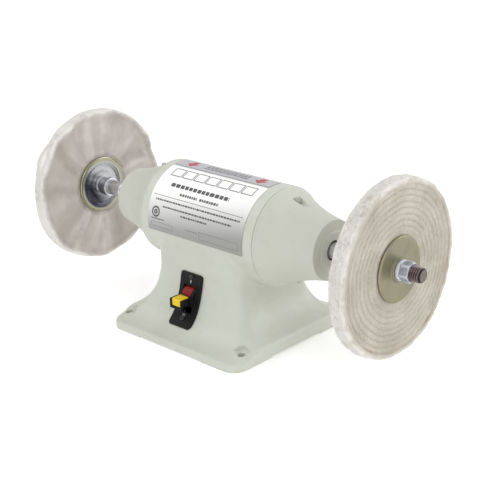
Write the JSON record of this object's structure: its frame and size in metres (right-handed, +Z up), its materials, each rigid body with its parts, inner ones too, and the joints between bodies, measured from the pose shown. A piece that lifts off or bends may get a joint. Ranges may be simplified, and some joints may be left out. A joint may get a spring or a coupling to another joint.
{
  "type": "bench grinder",
  "caption": "Two-wheel bench grinder with a cast motor body, long spindle and stitched cotton buffing wheels clamped between dished flanges.",
  "frame": {"origin": "on the bench, under the middle of the base", "axes": "+X along the spindle to the right-hand wheel, -Y the front with the switch, +Z up"},
  "size_m": [0.71, 0.2688, 0.294],
  "materials": {
    "body_paint": "semi-gloss light grey-green enamel on cast iron",
    "ground_steel": "ground and polished",
    "bright_zinc": "bright zinc plated",
    "yellow_zinc": "yellow zinc plated, dulled",
    "stitched_cotton": "layered cotton cloth, sewn in rows, frayed rim",
    "laminated_steel": "stacked laminations",
    "enamelled_copper": "enamelled copper wire",
    "cast_aluminium": "as cast",
    "black_plastic": "moulded, lightly textured",
    "white_plastic": "moulded nylon",
    "yellow_plastic": "moulded, glossy",
    "seal_rubber": "nitrile rubber",
    "label_foil": "white foil fading to silver, plain bars and emblem",
    "label_grey": "grey foil with red direction arrows",
    "black_steel": "black sheet steel"
  },
  "bodies": {
    "motor_body": {"motor_housing": "body_paint", "left_end_bell": "body_paint", "right_end_bell": "body_paint", "wave_washer": "ground_steel", "left_bearing_outer_ring": "ground_steel", "right_bearing_outer_ring": "ground_steel", "capacitor_clamp": "bright_zinc", "cover_screw_1": "bright_zinc", "cover_screw_2": "bright_zinc", "cover_screw_3": "bright_zinc", "cover_screw_4": "bright_zinc", "stator_core": "laminated_steel", "stator_winding": "enamelled_copper", "start_capacitor": "cast_aluminium", "centrifugal_switch": "black_plastic", "cord_gland": "black_plastic", "switch_plate": "black_plastic", "switch_body": "black_plastic", "terminal_block": "white_plastic", "left_shaft_seal": "seal_rubber", "right_shaft_seal": "seal_rubber", "name_plate": "label_foil", "direction_plate": "label_grey", "top_through_bolt": "black_steel", "bottom_through_bolt": "black_steel", "top_through_bolt_nut": "black_steel", "bottom_through_bolt_nut": "black_steel", "lower_plate_screw": "black_steel", "upper_plate_screw": "black_steel", "base_cover": "black_steel"},
    "spindle_set": {"spindle": "ground_steel", "rotor_core": "laminated_steel", "left_rotor_end_ring": "cast_aluminium", "right_rotor_end_ring": "cast_aluminium", "governor_hub": "black_plastic", "left_bearing_inner_ring": "ground_steel", "left_spindle_collar": "ground_steel", "left_inner_flange": "yellow_zinc", "left_buffing_wheel": "stitched_cotton", "left_outer_flange": "yellow_zinc", "left_spindle_washer": "bright_zinc", "left_spindle_nut": "bright_zinc", "right_bearing_inner_ring": "ground_steel", "right_spindle_collar": "ground_steel", "right_inner_flange": "yellow_zinc", "right_buffing_wheel": "stitched_cotton", "right_outer_flange": "yellow_zinc", "right_spindle_washer": "bright_zinc", "right_spindle_nut": "bright_zinc"},
    "left_balls": {"left_bearing_balls": "ground_steel"},
    "right_balls": {"right_bearing_balls": "ground_steel"},
    "governor": {"governor_collar": "white_plastic"},
    "rocker": {"switch_lever": "black_plastic"},
    "key": {"safety_key": "yellow_plastic"}
  },
  "joints": [
    {"name": "spindle_spin", "type": "hinge", "parent": "motor_body", "child": "spindle_set", "pos_m": [0, 0, 0.167], "axis": [1, 0, 0], "continuous": true},
    {"name": "left_balls_spin", "type": "hinge", "parent": "motor_body", "child": "left_balls", "pos_m": [-0.1885, 0, 0.167], "axis": [1, 0, 0], "continuous": true},
    {"name": "right_balls_spin", "type": "hinge", "parent": "motor_body", "child": "right_balls", "pos_m": [0.1885, 0, 0.167], "axis": [1, 0, 0], "continuous": true},
    {"name": "governor_slide", "type": "slide", "parent": "spindle_set", "child": "governor", "axis": [1, 0, 0], "range_m": [0, 0.004], "stiffness_N_per_m": 400},
    {"name": "switch_toggle", "type": "hinge", "parent": "motor_body", "child": "rocker", "pos_m": [-0.0107, -0.067, 0.061], "axis": [-1, 0, 0], "range_deg": [0, 24]},
    {"name": "key_pull", "type": "slide", "parent": "rocker", "child": "key", "axis": [0, -1, 0], "range_m": [0, 0.018]}
  ],
  "couplings": [
    {"joint": "left_balls_spin", "follows": "spindle_spin", "ratio": 0.4},
    {"joint": "right_balls_spin", "follows": "spindle_spin", "ratio": 0.4}
  ]
}
